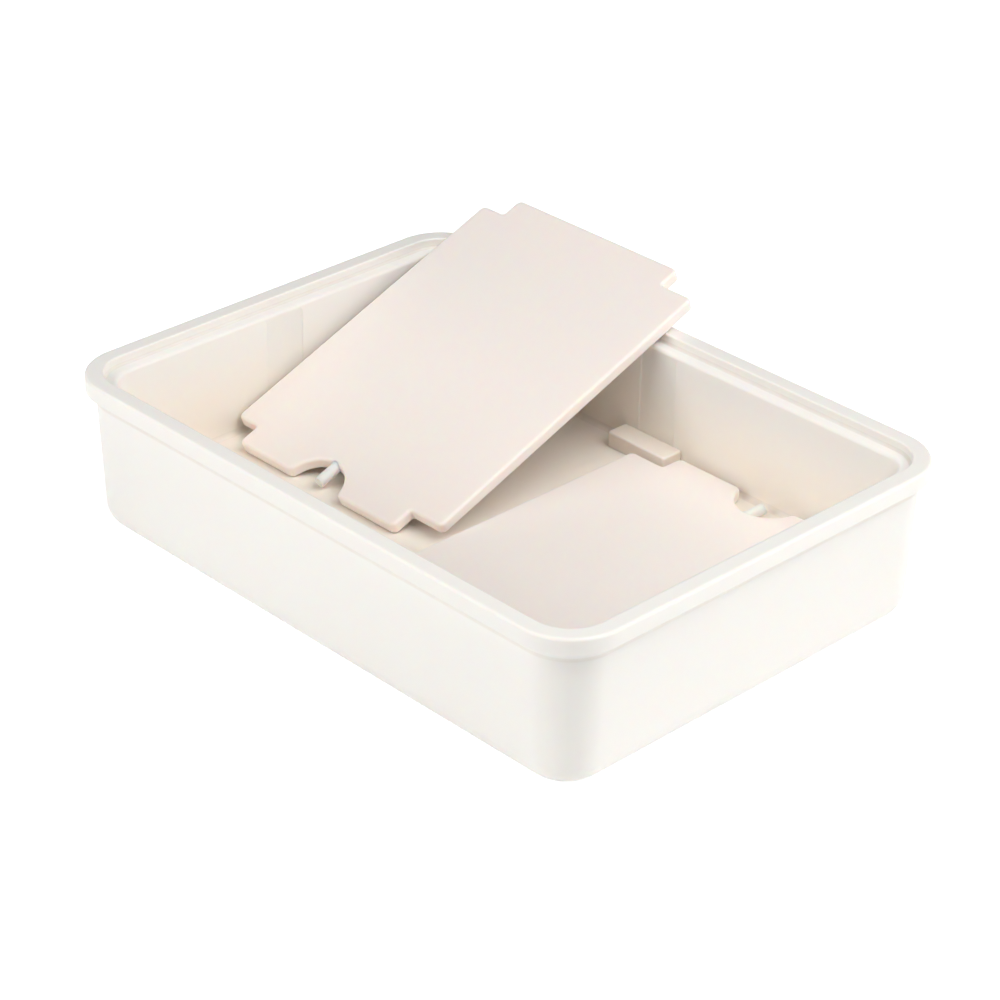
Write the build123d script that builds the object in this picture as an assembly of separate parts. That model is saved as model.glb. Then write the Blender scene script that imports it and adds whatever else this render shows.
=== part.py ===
from build123d import *
from math import asin, atan2, cos, degrees, hypot, radians, sin, sqrt
import os

# Chilled serving box: a double-walled open box with two cold plates that lift out.
# Sizes are in millimetres. The origin is the middle of the underside, +Z is up, +X runs
# along the box and the near long wall is on the -Y side.

# Box, outside
BOX_LENGTH = 480.0          # over the rim
BOX_WIDTH = 349.0           # over the rim
BOX_HEIGHT = 114.0          # underside to the top of the rim
RIM_CORNER = 40.0           # corner radius of the rim, seen from above
SKIN = 3.0                  # thickness of both plastic walls
WALL_TOP_INSET = 7.0        # outer wall behind the rim's face, just under the cove
WALL_FOOT_INSET = 11.0      # the same at the underside: the wall leans in as it goes down
BASE_EDGE = 17.0            # rounding between outer wall and underside

# Rim, measured in from its outer face and down from its top
RIM_FACE = 12.5             # width of the flat top
RIM_OUTER_EDGE = 3.5
RIM_INNER_EDGE = 1.2
BAND_DEPTH = 12.0           # height of the upright band
BAND_EDGE = 0.8
COVE_DEPTH = 18.5           # where the wall starts to flare out to the band
COVE_RADIUS = 9.0
LEDGE_DEPTH = 7.0           # step that the lid sinks into
LEDGE_WIDTH = 9.0
REBATE_EDGE = 0.8           # where the step's wall meets its ledge
LEDGE_EDGE = 2.2
HIDDEN_EDGE = 1.0           # rounding of edges inside the double wall

# Box, inside
FLOOR_HEIGHT = 30.0         # floor above the underside
FLOOR_INSET = 27.0          # inner wall behind the rim's face, at the floor
FLOOR_EDGE = 4.0
GROOVE_WIDTH = 35.0         # shallow upright groove in the middle of each inner wall
GROOVE_DEPTH = 1.0
BLOCK_LENGTH = 53.5         # locating block at the middle of each long wall
BLOCK_REACH = 17.0          # how far it stands out from the wall
BLOCK_HEIGHT = 11.5
BLOCK_EDGE = 1.4

# Cold plate; its outer side faces the short wall, its spigot end has the half-round cut-out
PLATE_WIDTH = 207.0
PLATE_LENGTH = 285.0
PLATE_THICKNESS = 9.2
PLATE_CORNER = 4.5
PLATE_EDGE = 2.2
NOTCH_DEPTH = 17.5          # step at every corner, along the plate
NOTCH_OUTER = 20.5          # its width on the outer side
NOTCH_INNER = 29.0          # its width on the inner side, where it clears a locating block
NOTCH_CORNER = 2.0
CUTOUT_RADIUS = 23.4
CUTOUT_CENTRE = -1.8        # in from the end of the tab, so just outside it
CUTOUT_SIDE = 98.0          # from the plate's outer side
CUTOUT_MOUTH = 5.0          # rounding of its mouth
SHELL_WALL = 1.5
SPIGOT_RADIUS = 4.0
SPIGOT_BORE = 2.25
SPIGOT_TIP = 5.7            # end of the spigot, in from the end of the tab
PLUG_HEAD = 1.2
PLUG_BEVEL = 0.4
PLUG_LENGTH = 12.0
PLUG_CLEARANCE = 0.05       # round the pin and under the head

# Where the plates lie
PLATE_GAP = 2.2             # inner side of the seated plate from the middle of the box
LEAN_SIDE = 211.5           # outer side of the leaning plate from the middle of the box
LEAN_FOOT = -59.5           # centre of the leaning plate's lowest rounded edge, along Y
SEAT_CLEARANCE = 0.3        # between a plate and what it rests on
SKIRT_CLEARANCE = 0.2       # between the rim's band and the outer shell's upstand
FIT_CLEARANCE = 0.1         # between pieces that fill each other
SLAB_INSET = 36.0           # where the swept walls end and the flat slabs begin


def inner_wall_inset(height):
    """Inset of the inner wall's face at a height above the underside."""
    top = BOX_HEIGHT - LEDGE_DEPTH
    share = (top - height) / (top - FLOOR_HEIGHT)
    return RIM_FACE + LEDGE_WIDTH + share * (FLOOR_INSET - RIM_FACE - LEDGE_WIDTH)


def rounded_section(corners):
    """Closed face from (inset, height, radius) corners; radius 0 leaves a corner sharp."""
    face = make_face(Polyline(*[(inset, height) for inset, height, _ in corners], close=True))
    for inset, height, radius in corners:
        if radius:
            vertex = face.vertices().sort_by_distance((inset, height, 0))[0]
            face = fillet(vertex, radius)
    return face


def tray(corners, slab_low, slab_high):
    """A tray: its wall section carried round the rim's outline, plus its flat slab."""
    section_plane = Plane(origin=(0, -BOX_WIDTH / 2, 0), x_dir=(0, 1, 0), z_dir=(1, 0, 0))
    outline = RectangleRounded(BOX_LENGTH, BOX_WIDTH, RIM_CORNER).wire()
    wall = sweep(section_plane * rounded_section(corners), path=outline)
    slab_outline = RectangleRounded(
        BOX_LENGTH - 2 * SLAB_INSET, BOX_WIDTH - 2 * SLAB_INSET, RIM_CORNER - SLAB_INSET
    )
    slab = Pos(0, 0, slab_low) * extrude(slab_outline, slab_high - slab_low)
    return wall + slab


def outer_shell():
    """Outer tray: underside, leaning walls, cove and the upstand inside the rim's band."""
    band_foot = BOX_HEIGHT - BAND_DEPTH
    cove_foot = BOX_HEIGHT - COVE_DEPTH
    face = SKIN + SKIRT_CLEARANCE
    top = BOX_HEIGHT - SKIN - FIT_CLEARANCE
    return tray(
        [
            (SLAB_INSET, 0, 0),
            (WALL_FOOT_INSET, 0, BASE_EDGE),
            (WALL_TOP_INSET, cove_foot, COVE_RADIUS),
            (face, band_foot, 0),
            (face, top, HIDDEN_EDGE),
            (face + SKIN, top, HIDDEN_EDGE),
            (face + SKIN, band_foot - HIDDEN_EDGE, HIDDEN_EDGE),
            (WALL_TOP_INSET + SKIN, cove_foot - HIDDEN_EDGE, COVE_RADIUS - SKIN),
            (WALL_FOOT_INSET + SKIN, SKIN, BASE_EDGE - SKIN),
            (SLAB_INSET, SKIN, 0),
        ],
        0,
        SKIN,
    )


def locating_block(turn):
    """Block that keys the plates' wide notches, at the middle of a long wall turned about +Z."""
    into_wall = SKIN / 3
    depth = BLOCK_REACH + into_wall
    front = BOX_WIDTH / 2 - FLOOR_INSET - BLOCK_REACH
    block = Pos(0, 0, BLOCK_HEIGHT / 2) * Box(BLOCK_LENGTH, depth, BLOCK_HEIGHT)
    front_face = block.faces().sort_by(Axis.Y)[0]
    top_edges = block.faces().sort_by(Axis.Z)[-1].edges().sort_by(Axis.Y)[:-1]
    upright = front_face.edges().filter_by(Axis.Z)
    block = fillet(top_edges + upright, BLOCK_EDGE)
    return Rot(0, 0, turn) * Pos(0, front + depth / 2, FLOOR_HEIGHT - FIT_CLEARANCE) * block


def wall_groove(half_span, turn, low):
    """Cutter for the shallow groove in one inner wall, from a low height up to the ledge."""
    high = BOX_HEIGHT - LEDGE_DEPTH
    reach = 8.0
    corners = [
        (half_span - inner_wall_inset(low) + GROOVE_DEPTH, low),
        (half_span - inner_wall_inset(low) - reach, low),
        (half_span - inner_wall_inset(high) - reach, high),
        (half_span - inner_wall_inset(high) + GROOVE_DEPTH, high),
    ]
    profile = Plane.YZ * make_face(Polyline(*corners, close=True))
    return Rot(0, 0, turn) * extrude(profile, GROOVE_WIDTH / 2, both=True)


def inner_liner():
    """Inner tray with the rim, the step for the lid, the wall grooves and the locating blocks."""
    ledge = BOX_HEIGHT - LEDGE_DEPTH
    liner = tray(
        [
            (0, BOX_HEIGHT, RIM_OUTER_EDGE),
            (RIM_FACE, BOX_HEIGHT, RIM_INNER_EDGE),
            (RIM_FACE, ledge, REBATE_EDGE),
            (RIM_FACE + LEDGE_WIDTH, ledge, LEDGE_EDGE),
            (FLOOR_INSET, FLOOR_HEIGHT, FLOOR_EDGE),
            (SLAB_INSET, FLOOR_HEIGHT, 0),
            (SLAB_INSET, FLOOR_HEIGHT - SKIN, 0),
            (FLOOR_INSET - SKIN, FLOOR_HEIGHT - SKIN, FLOOR_EDGE + SKIN),
            (RIM_FACE + LEDGE_WIDTH - SKIN, ledge - SKIN, HIDDEN_EDGE),
            (RIM_FACE - SKIN, ledge - SKIN, HIDDEN_EDGE),
            (RIM_FACE - SKIN, BOX_HEIGHT - SKIN, HIDDEN_EDGE),
            (SKIN, BOX_HEIGHT - SKIN, HIDDEN_EDGE / 2),
            (SKIN, BOX_HEIGHT - BAND_DEPTH, HIDDEN_EDGE / 2),
            (0, BOX_HEIGHT - BAND_DEPTH, BAND_EDGE),
        ],
        FLOOR_HEIGHT - SKIN,
        FLOOR_HEIGHT,
    )
    block_top = FLOOR_HEIGHT + BLOCK_HEIGHT - FIT_CLEARANCE
    for turn in (0, 180):
        liner -= wall_groove(BOX_WIDTH / 2, turn, block_top)
        liner -= wall_groove(BOX_LENGTH / 2, turn + 90, FLOOR_HEIGHT + FLOOR_EDGE)
        liner += locating_block(turn)
    return liner


def insulation_core():
    """Foam that fills the space between the outer shell and the liner."""
    ledge = BOX_HEIGHT - LEDGE_DEPTH
    outer = SKIN + FIT_CLEARANCE
    return tray(
        [
            (SLAB_INSET, outer, 0),
            (WALL_FOOT_INSET + outer, outer, BASE_EDGE - outer),
            (WALL_TOP_INSET + outer, BOX_HEIGHT - COVE_DEPTH - HIDDEN_EDGE, 0),
            (WALL_TOP_INSET + outer, ledge - outer, 0),
            (RIM_FACE + LEDGE_WIDTH - outer, ledge - outer, HIDDEN_EDGE),
            (FLOOR_INSET - outer, FLOOR_HEIGHT - outer, FLOOR_EDGE + outer),
            (SLAB_INSET, FLOOR_HEIGHT - outer, 0),
        ],
        outer,
        FLOOR_HEIGHT - outer,
    )


def plate_outline():
    """Cold plate seen from above: outer side at X = 0, spigot end at Y = 0."""
    outline = Pos(PLATE_WIDTH / 2, PLATE_LENGTH / 2) * Rectangle(PLATE_WIDTH, PLATE_LENGTH)
    notch_corners = []
    for end, along in ((0, NOTCH_DEPTH), (PLATE_LENGTH, PLATE_LENGTH - NOTCH_DEPTH)):
        for side, across in ((0, NOTCH_OUTER), (PLATE_WIDTH, PLATE_WIDTH - NOTCH_INNER)):
            middle = Pos((side + across) / 2, (end + along) / 2)
            outline -= middle * Rectangle(abs(across - side), abs(along - end))
            notch_corners.append((across, along))
    outline -= Pos(CUTOUT_SIDE, CUTOUT_CENTRE) * Circle(CUTOUT_RADIUS)
    half_mouth = sqrt(CUTOUT_RADIUS**2 - CUTOUT_CENTRE**2)
    mouth = [(CUTOUT_SIDE - half_mouth, 0), (CUTOUT_SIDE + half_mouth, 0)]
    tab_corners = [(across, end) for across in (NOTCH_OUTER, PLATE_WIDTH - NOTCH_INNER)
                   for end in (0, PLATE_LENGTH)]
    side_corners = [(side, along) for side in (0, PLATE_WIDTH)
                    for along in (NOTCH_DEPTH, PLATE_LENGTH - NOTCH_DEPTH)]
    roundings = (
        (notch_corners, NOTCH_CORNER),
        (mouth, CUTOUT_MOUTH),
        (tab_corners + side_corners, PLATE_CORNER),
    )
    for spots, radius in roundings:
        for spot in spots:
            vertex = outline.vertices().sort_by_distance((*spot, 0))[0]
            outline = fillet(vertex, radius)
    return outline


def along_plate(radius, start, length):
    """Rod on the spigot's axis from start to start + length, measured in from the tab's end."""
    rod = Rot(-90, 0, 0) * Cylinder(radius, length, align=(Align.CENTER, Align.CENTER, Align.MIN))
    return Pos(CUTOUT_SIDE, start, PLATE_THICKNESS / 2) * rod


def cavity(clearance):
    """Space inside a cold plate, shrunk by a clearance on every side."""
    skin = SHELL_WALL + clearance
    inside = offset(plate_outline(), amount=-skin, kind=Kind.INTERSECTION)
    return Pos(0, 0, skin) * extrude(inside, PLATE_THICKNESS - 2 * skin)


def plate_shell():
    """Hollow plastic shell of a cold plate with its filler spigot."""
    body = extrude(plate_outline(), PLATE_THICKNESS)
    rim_edges = body.faces().sort_by(Axis.Z)[-1].edges() + body.faces().sort_by(Axis.Z)[0].edges()
    body = fillet(rim_edges, PLATE_EDGE)
    root = CUTOUT_CENTRE + CUTOUT_RADIUS + SHELL_WALL / 2
    body += along_plate(SPIGOT_RADIUS, SPIGOT_TIP, root - SPIGOT_TIP)
    body -= cavity(0)
    return body - along_plate(SPIGOT_BORE, SPIGOT_TIP, root - SPIGOT_TIP + SHELL_WALL)


def plate_gel():
    """Cooling gel that fills a cold plate's shell."""
    return cavity(FIT_CLEARANCE)


def plate_plug():
    """Plug that closes the spigot: a pin in the bore and a head over its end."""
    head_end = SPIGOT_TIP - PLUG_CLEARANCE
    head = along_plate(SPIGOT_RADIUS, head_end - PLUG_HEAD, PLUG_HEAD)
    head = chamfer(head.faces().sort_by(Axis.Y)[0].edges(), PLUG_BEVEL)
    pin = along_plate(SPIGOT_BORE - PLUG_CLEARANCE, head_end - PLUG_HEAD / 2, PLUG_LENGTH)
    return head + pin


def lean_placement():
    """Place of the leaning plate: foot on the floor, underside on the rim's inner top edge.

    It touches the rim first where its side passes over the rim's rounded corner.
    """
    foot = (LEAN_FOOT, FLOOR_HEIGHT + PLATE_EDGE + SEAT_CLEARANCE)
    corner = RIM_CORNER - RIM_FACE + RIM_INNER_EDGE
    into_corner = max(0, LEAN_SIDE - PLATE_EDGE - BOX_LENGTH / 2 + RIM_CORNER)
    edge = BOX_WIDTH / 2 - RIM_CORNER + sqrt(corner ** 2 - into_corner ** 2)
    across, up = edge - foot[0], BOX_HEIGHT - RIM_INNER_EDGE - foot[1]
    stand_off = RIM_INNER_EDGE + PLATE_EDGE + SEAT_CLEARANCE
    tilt = degrees(atan2(up, across) + asin(stand_off / hypot(across, up)))
    swing = PLATE_EDGE * (cos(radians(tilt)) - sin(radians(tilt)))
    rise = PLATE_EDGE * (cos(radians(tilt)) + sin(radians(tilt)))
    return Pos(-LEAN_SIDE, foot[0] - swing, foot[1] - rise) * Rot(tilt, 0, 0)


def seat_placement():
    """Place of the seated plate: turned half round, flat on the floor beside the middle."""
    return Pos(PLATE_GAP + PLATE_WIDTH, PLATE_LENGTH / 2, FLOOR_HEIGHT + SEAT_CLEARANCE) * Rot(0, 0, 180)


def main():
    """Builds every node and writes its file."""
    nodes = {
        "outer_shell": outer_shell(),
        "insulation_core": insulation_core(),
        "inner_liner": inner_liner(),
    }
    pieces = {"shell": plate_shell(), "gel": plate_gel(), "plug": plate_plug()}
    for plate, place in (("leaning_plate", lean_placement()), ("seated_plate", seat_placement())):
        for piece, shape in pieces.items():
            nodes[f"{plate}_{piece}"] = place * shape
    for name, shape in nodes.items():
        export_step(shape, f"parts/{name}.step")
        box = shape.bounding_box()
        print(f"{name}: {shape.volume / 1000:.1f} cm3, valid {shape.is_valid}, solids "
              f"{len(shape.solids())}, X {box.min.X:.1f}..{box.max.X:.1f}, "
              f"Y {box.min.Y:.1f}..{box.max.Y:.1f}, Z {box.min.Z:.1f}..{box.max.Z:.1f}")


os.makedirs("parts", exist_ok=True)
main()
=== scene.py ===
"""Looks of the chilled serving box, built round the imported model.

Lengths are in metres and +Z is up. The middle of the box's underside is the origin, +X runs
along the box and the near long wall is on the -Y side. A size that reads better in
millimetres is written as a number times MM.
"""
import logging
import math
from collections.abc import Sequence
from dataclasses import dataclass, field, fields, replace
from enum import Enum

import bmesh
import bpy
from bmesh.types import BMesh, BMVert
from bpy.types import Material, Mesh, Node, NodeSocket, Object
from mathutils import Matrix, Vector


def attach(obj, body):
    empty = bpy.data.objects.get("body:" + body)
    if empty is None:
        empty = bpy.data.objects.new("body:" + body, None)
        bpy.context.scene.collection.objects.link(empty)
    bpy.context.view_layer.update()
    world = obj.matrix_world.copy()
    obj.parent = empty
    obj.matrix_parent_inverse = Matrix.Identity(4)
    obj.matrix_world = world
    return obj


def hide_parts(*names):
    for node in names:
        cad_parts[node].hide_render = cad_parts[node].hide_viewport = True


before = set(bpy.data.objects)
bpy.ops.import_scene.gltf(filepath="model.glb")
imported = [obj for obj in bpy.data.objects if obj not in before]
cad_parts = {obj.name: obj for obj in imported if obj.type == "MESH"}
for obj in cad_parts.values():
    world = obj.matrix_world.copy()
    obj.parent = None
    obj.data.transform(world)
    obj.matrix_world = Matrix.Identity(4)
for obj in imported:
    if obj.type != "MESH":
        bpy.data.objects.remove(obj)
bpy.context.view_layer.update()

LOG = logging.getLogger("serving_box")
MM = 0.001
RING_STEP = math.radians(9)         # widest turn between two points of a small rounding
RIM_STEP = math.radians(3)          # the same for the box's upright corners
SUPPORT = 0.5 * MM                  # distance of the points that keep a flat face flat
GROOVE_FADE = 3 * MM                # distance over which a groove runs out beside a rounding
SHARP_ANGLE = math.radians(35)      # a wider angle between two faces stays a sharp edge
WELD = 0.001 * MM                   # points closer than this become one

Colour = tuple[float, float, float]


class Mark(Enum):
    """Point attributes that the finishes read."""

    # The edge mark lightens outer edges: a painted highlight with rubbed wear.
    EDGE = "edge"           # 1 on a rounding that stands out
    # The crease mark carries painted shade into inside corners.
    CREASE = "crease"       # 1 on a rounding in an inside corner
    RECESS = "recess"       # 1 where the groove in an inner wall reaches its full depth


class Run(Enum):
    """What the straight run after a corner belongs to."""

    PLAIN = 0.0
    GROOVED = 1.0


class Rest(Enum):
    """How a cold plate lies in the box."""

    LEANING = "leaning_plate"
    SEATED = "seated_plate"


@dataclass(frozen=True)
class Corner:
    """A corner of a section or an outline, with its rounding."""

    x: float
    y: float
    radius: float = 0.0
    run: Run = Run.PLAIN


@dataclass(frozen=True)
class LinePoint:
    """A point of a rounded line, with its outward normal and its marks."""

    place: Vector
    normal: Vector
    edge: float = 0.0
    crease: float = 0.0
    recess: float = 0.0


def rounded_line(corners: Sequence[Corner], closed: bool, step: float,
                 support: float = SUPPORT) -> list[LinePoint]:
    """Rounds the corners of a line that has its material on the left.

    Args:
        corners: The sharp corners in order.
        closed: Whether the last corner joins the first.
        step: Widest turn between two points of a rounding, in radians.
        support: Distance of the extra points before and after each rounding.

    Returns:
        The points in order; a closed line doesn't repeat its first point.
    """
    points: list[LinePoint] = []
    count = len(corners)
    for k, corner in enumerate(corners):
        here = Vector((corner.x, corner.y))
        if not closed and k in (0, count - 1):
            other = corners[1] if k == 0 else corners[-2]
            along = (Vector((other.x, other.y)) - here).normalized() * (1 if k == 0 else -1)
            points.append(LinePoint(here, Vector((along.y, -along.x))))
            continue
        before, after = corners[k - 1], corners[(k + 1) % count]
        back = (Vector((before.x, before.y)) - here).normalized()
        ahead = (Vector((after.x, after.y)) - here).normalized()
        turn = math.pi - back.angle(ahead)
        left = (-back).x * ahead.y - (-back).y * ahead.x > 0
        reach = corner.radius * math.tan(turn / 2)
        start_normal, end_normal = Vector((-back.y, back.x)), Vector((ahead.y, -ahead.x))
        grooves = before.run.value, corner.run.value
        fades = [GROOVE_FADE if value > min(grooves) else support for value in grooves]
        points.append(LinePoint(here + back * (reach + fades[0]), start_normal, recess=grooves[0]))
        if corner.radius == 0:
            points.append(LinePoint(here, (start_normal + end_normal).normalized()))
        else:
            centre = here + (back + ahead).normalized() * math.hypot(reach, corner.radius)
            steps = max(2, math.ceil(turn / step))
            for n in range(steps + 1):
                share = n / steps
                angle = turn * share * (1 if left else -1)
                normal = Matrix.Rotation(angle, 2) @ start_normal
                spot = centre + normal * corner.radius * (1 if left else -1)
                inside = 0.0 if n in (0, steps) else 1.0
                # A rounding that stands out gets the edge mark, for a painted highlight with wear;
                # one in an inside corner gets the crease mark, for painted shade.
                points.append(LinePoint(
                    spot, normal, edge=inside if left else 0.0, crease=0.0 if left else inside,
                    recess=min(grooves),
                ))
        points.append(LinePoint(here + ahead * (reach + fades[1]), end_normal, recess=grooves[1]))
    return points


def add_object(name: str, data: bpy.types.ID) -> Object:
    """Makes an object and links it to the scene.

    Args:
        name: Name of the object.
        data: Its mesh, lamp or camera.

    Returns:
        The object.
    """
    obj = bpy.data.objects.new(name, data)
    bpy.context.scene.collection.objects.link(obj)
    return obj


def line_object(name: str, points: Sequence[LinePoint], closed: bool,
                flip: bool = False) -> Object:
    """Makes a wire mesh of a line.

    Args:
        name: Name of the object.
        points: The line's points.
        closed: Whether the last point joins the first.
        flip: Turns the line half round and gives it its marks, as a carried section needs.

    Returns:
        The object, linked to the scene.
    """
    mesh = bpy.data.meshes.new(name)
    side = -1 if flip else 1
    last = len(points) - 1
    edges = [(k, k + 1) for k in range(last)] + ([(last, 0)] if closed else [])
    mesh.from_pydata([(side * p.place.x, side * p.place.y, 0.0) for p in points], edges, [])
    for mark in Mark if flip else ():
        values = [getattr(p, mark.value) for p in points]
        mesh.attributes.new(mark.value, "FLOAT", "POINT").data.foreach_set("value", values)
    return add_object(name, mesh)


@dataclass
class NodeTree:
    """A node tree with short ways to add and join nodes."""

    tree: bpy.types.NodeTree

    def put(self, value: object, end: NodeSocket) -> None:
        """Gives an input its value.

        Args:
            value: A number, a colour, a datablock or the output socket that it comes from.
            end: The input.
        """
        if isinstance(value, NodeSocket):
            self.tree.links.new(value, end)
        else:
            end.default_value = (*value, 1) if end.type == "RGBA" else value

    def fill(self, node: Node, **values: object) -> None:
        """Gives named inputs of a node their values; _ stands for a space in a name."""
        for name, value in values.items():
            self.put(value, node.inputs[name.replace("_", " ")])

    def add(self, kind: str, **settings: object) -> Node:
        """Adds a node.

        Args:
            kind: The node's type.
            settings: Values of its properties and inputs, with _ for a space in an input's name.

        Returns:
            The node.
        """
        node = self.tree.nodes.new(kind)
        properties = [key for key in settings if hasattr(node, key) and key not in node.inputs]
        for key in properties:
            setattr(node, key, settings.pop(key))
        self.fill(node, **settings)
        return node

    def maths(self, operation: str, *values: object) -> NodeSocket:
        """Adds a maths node.

        Args:
            operation: What it does.
            values: Its inputs, as numbers or sockets.

        Returns:
            The socket with the result.
        """
        node = self.tree.nodes.new("ShaderNodeMath")
        node.operation = operation
        for socket, value in zip(node.inputs, values):
            self.put(value, socket)
        return node.outputs[0]

    def mix(self, share: object, first: object, second: Colour) -> NodeSocket:
        """Mixes two colours.

        Args:
            share: The second colour's share, a number or a socket.
            first: The first colour, or a socket with it.
            second: The second colour.

        Returns:
            The socket with the result.
        """
        node = self.add("ShaderNodeMix", data_type="RGBA", Factor=share)
        ends = [socket for socket in node.inputs if socket.type == "RGBA"]
        for end, colour in zip(ends, (first, second)):
            self.put(colour, end)
        return next(socket for socket in node.outputs if socket.type == "RGBA")

    def sockets(self, side: str, **kinds: str) -> None:
        """Adds named sockets to a group's interface; side is INPUT or OUTPUT."""
        for name, kind in kinds.items():
            self.tree.interface.new_socket(name.replace("_", " "), in_out=side, socket_type=kind)


@dataclass(frozen=True)
class Groove:
    """The shallow upright groove in the middle of each inner wall."""

    half_width: float = 16.4 * MM
    depth: float = 0.8 * MM
    softness: float = 1.6 * MM
    lean: float = 0.065
    middle: float = 68 * MM

    def stations(self) -> list[float]:
        """Distances from a wall's middle at which the path needs points."""
        quarter = self.softness / 4
        return [self.half_width + quarter * k for k in (-2, -1, 0, 1, 2)]


@dataclass
class CarriedSection:
    """Node tree that carries a wall section round the rim's outline and presses the grooves in."""

    name: str = "carried_section"
    identifiers: dict[str, str] = field(default_factory=dict)
    tree: bpy.types.NodeTree | None = None

    def build(self) -> None:
        """Builds the tree, once."""
        self.tree = bpy.data.node_groups.new(self.name, "GeometryNodeTree")
        t = NodeTree(self.tree)
        t.sockets("INPUT", Geometry="NodeSocketGeometry", Section="NodeSocketObject",
                  Finish="NodeSocketMaterial",
                  **{size.name: "NodeSocketFloat" for size in fields(Groove)})
        t.sockets("OUTPUT", Geometry="NodeSocketGeometry")
        for item in self.tree.interface.items_tree:
            if item.in_out == "INPUT":
                self.identifiers[item.name] = item.identifier
        given, result = t.add("NodeGroupInput"), t.add("NodeGroupOutput")
        info = t.add("GeometryNodeObjectInfo", transform_space="ORIGINAL",
                     Object=given.outputs["Section"])
        section = t.add("GeometryNodeMeshToCurve", Mesh=info.outputs["Geometry"])
        path = t.add("GeometryNodeMeshToCurve", Mesh=given.outputs["Geometry"])
        upright = t.add("GeometryNodeSetCurveNormal", mode="Z_UP", Curve=path.outputs["Curve"])
        carried = t.add("GeometryNodeCurveToMesh", Curve=upright.outputs["Curve"],
                        Profile_Curve=section.outputs["Curve"])
        pressed = t.add("GeometryNodeSetPosition", Geometry=carried.outputs["Mesh"],
                        Offset=self._press(t, given))
        smooth = t.add("GeometryNodeSetShadeSmooth", Geometry=pressed.outputs["Geometry"])
        real = t.add("GeometryNodeRealizeInstances", Geometry=smooth.outputs["Geometry"])
        dressed = t.add("GeometryNodeSetMaterial", Geometry=real.outputs["Geometry"],
                        Material=given.outputs["Finish"])
        t.fill(result, Geometry=dressed.outputs["Geometry"])

    def _press(self, t: NodeTree, given: Node) -> NodeSocket:
        """Makes the offset that presses the groove into the middle of each wall.

        Args:
            t: The tree that is built.
            given: Its input node.

        Returns:
            The socket with the offset vector.
        """
        where = t.add("GeometryNodeInputPosition").outputs["Position"]
        split = t.add("ShaderNodeSeparateXYZ", Vector=where)
        mark = t.add("GeometryNodeInputNamedAttribute", data_type="FLOAT", Name=Mark.RECESS.value)
        half_width, full = given.outputs["half width"], mark.outputs["Attribute"]
        depth = t.maths("MULTIPLY", full, given.outputs["depth"])
        half_soft = t.maths("MULTIPLY", given.outputs["softness"], 0.5)
        inner = t.maths("SUBTRACT", half_width, half_soft)
        outer = t.maths("ADD", half_width, half_soft)
        above = t.maths("SUBTRACT", split.outputs["Z"], given.outputs["middle"])
        lean = t.maths("MULTIPLY", t.maths("MULTIPLY", above, given.outputs["lean"]), full)
        reach = t.maths("MULTIPLY", half_width, 2.0)
        parts: dict[str, list[NodeSocket]] = {"X": [], "Y": []}
        for along, across in (("Y", "X"), ("X", "Y")):
            off_middle = t.maths("ABSOLUTE", split.outputs[along])
            span = t.add("ShaderNodeMapRange", interpolation_type="SMOOTHSTEP", Value=off_middle,
                         From_Min=outer, From_Max=inner)
            side = t.maths("SIGN", split.outputs[across])
            pushed = t.maths("MULTIPLY", span.outputs[0], side)
            parts[across].append(t.maths("MULTIPLY", pushed, depth))
            near = t.maths("LESS_THAN", off_middle, reach)
            slide = t.maths("MULTIPLY", lean, near)
            parts[along].append(t.maths("MULTIPLY", slide, t.maths("MULTIPLY", side, -1.0)))
        sums = {axis: t.maths("ADD", *values) for axis, values in parts.items()}
        return t.add("ShaderNodeCombineXYZ", **sums).outputs[0]

    def carry(self, path: Object, section: Object, groove: Groove, finish: Material) -> Object:
        """Carries a section round a path and makes the result a plain mesh.

        Args:
            path: Closed wire round the rim; its name goes to the result.
            section: Open wire of the wall section.
            groove: Sizes of the wall grooves.
            finish: Material of the result.

        Returns:
            The plain mesh object, with its open ends closed.
        """
        if self.tree is None:
            self.build()
        modifier = path.modifiers.new(self.name, "NODES")
        modifier.node_group = self.tree
        for name, value in {"Section": section, "Finish": finish, **vars(groove)}.items():
            modifier[self.identifiers[name.replace("_", " ")]] = value
        scene_state = bpy.context.evaluated_depsgraph_get()
        mesh = bpy.data.meshes.new_from_object(path.evaluated_get(scene_state))
        path.modifiers.remove(modifier)
        name = path.name
        for wire in (path, section):
            bpy.data.objects.remove(wire)
        obj = add_object(name, mesh)
        close_mesh(obj)
        return obj


def store(work: BMesh, mesh: Mesh) -> None:
    """Puts finished work into a mesh, shaded smooth but for its sharp edges.

    Args:
        work: The work; it is freed.
        mesh: The mesh that takes it.
    """
    work.to_mesh(mesh)
    work.free()
    mesh.shade_smooth()
    mesh.set_sharp_from_angle(angle=SHARP_ANGLE)


def close_mesh(obj: Object) -> None:
    """Fills a mesh's open loops, points its faces outwards and marks its sharp edges.

    Args:
        obj: The mesh object.
    """
    work = bmesh.new()
    work.from_mesh(obj.data)
    bmesh.ops.remove_doubles(work, verts=work.verts, dist=WELD)
    open_edges = [edge for edge in work.edges if edge.is_boundary]
    if open_edges:
        bmesh.ops.edgeloop_fill(work, edges=open_edges)
    bmesh.ops.recalc_face_normals(work, faces=work.faces)
    store(work, obj.data)


def mesh_object(name: str, work: BMesh, place: Matrix, finish: Material) -> Object:
    """Turns work in progress into an object at the origin, with its place in its mesh.

    Args:
        name: Name of the object.
        work: The mesh that is built; it is freed.
        place: Where the mesh goes.
        finish: Material of the object.

    Returns:
        The object, linked to the scene.
    """
    bmesh.ops.recalc_face_normals(work, faces=work.faces)
    work.transform(place)
    mesh = bpy.data.meshes.new(name)
    store(work, mesh)
    mesh.materials.append(finish)
    return add_object(name, mesh)


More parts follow.
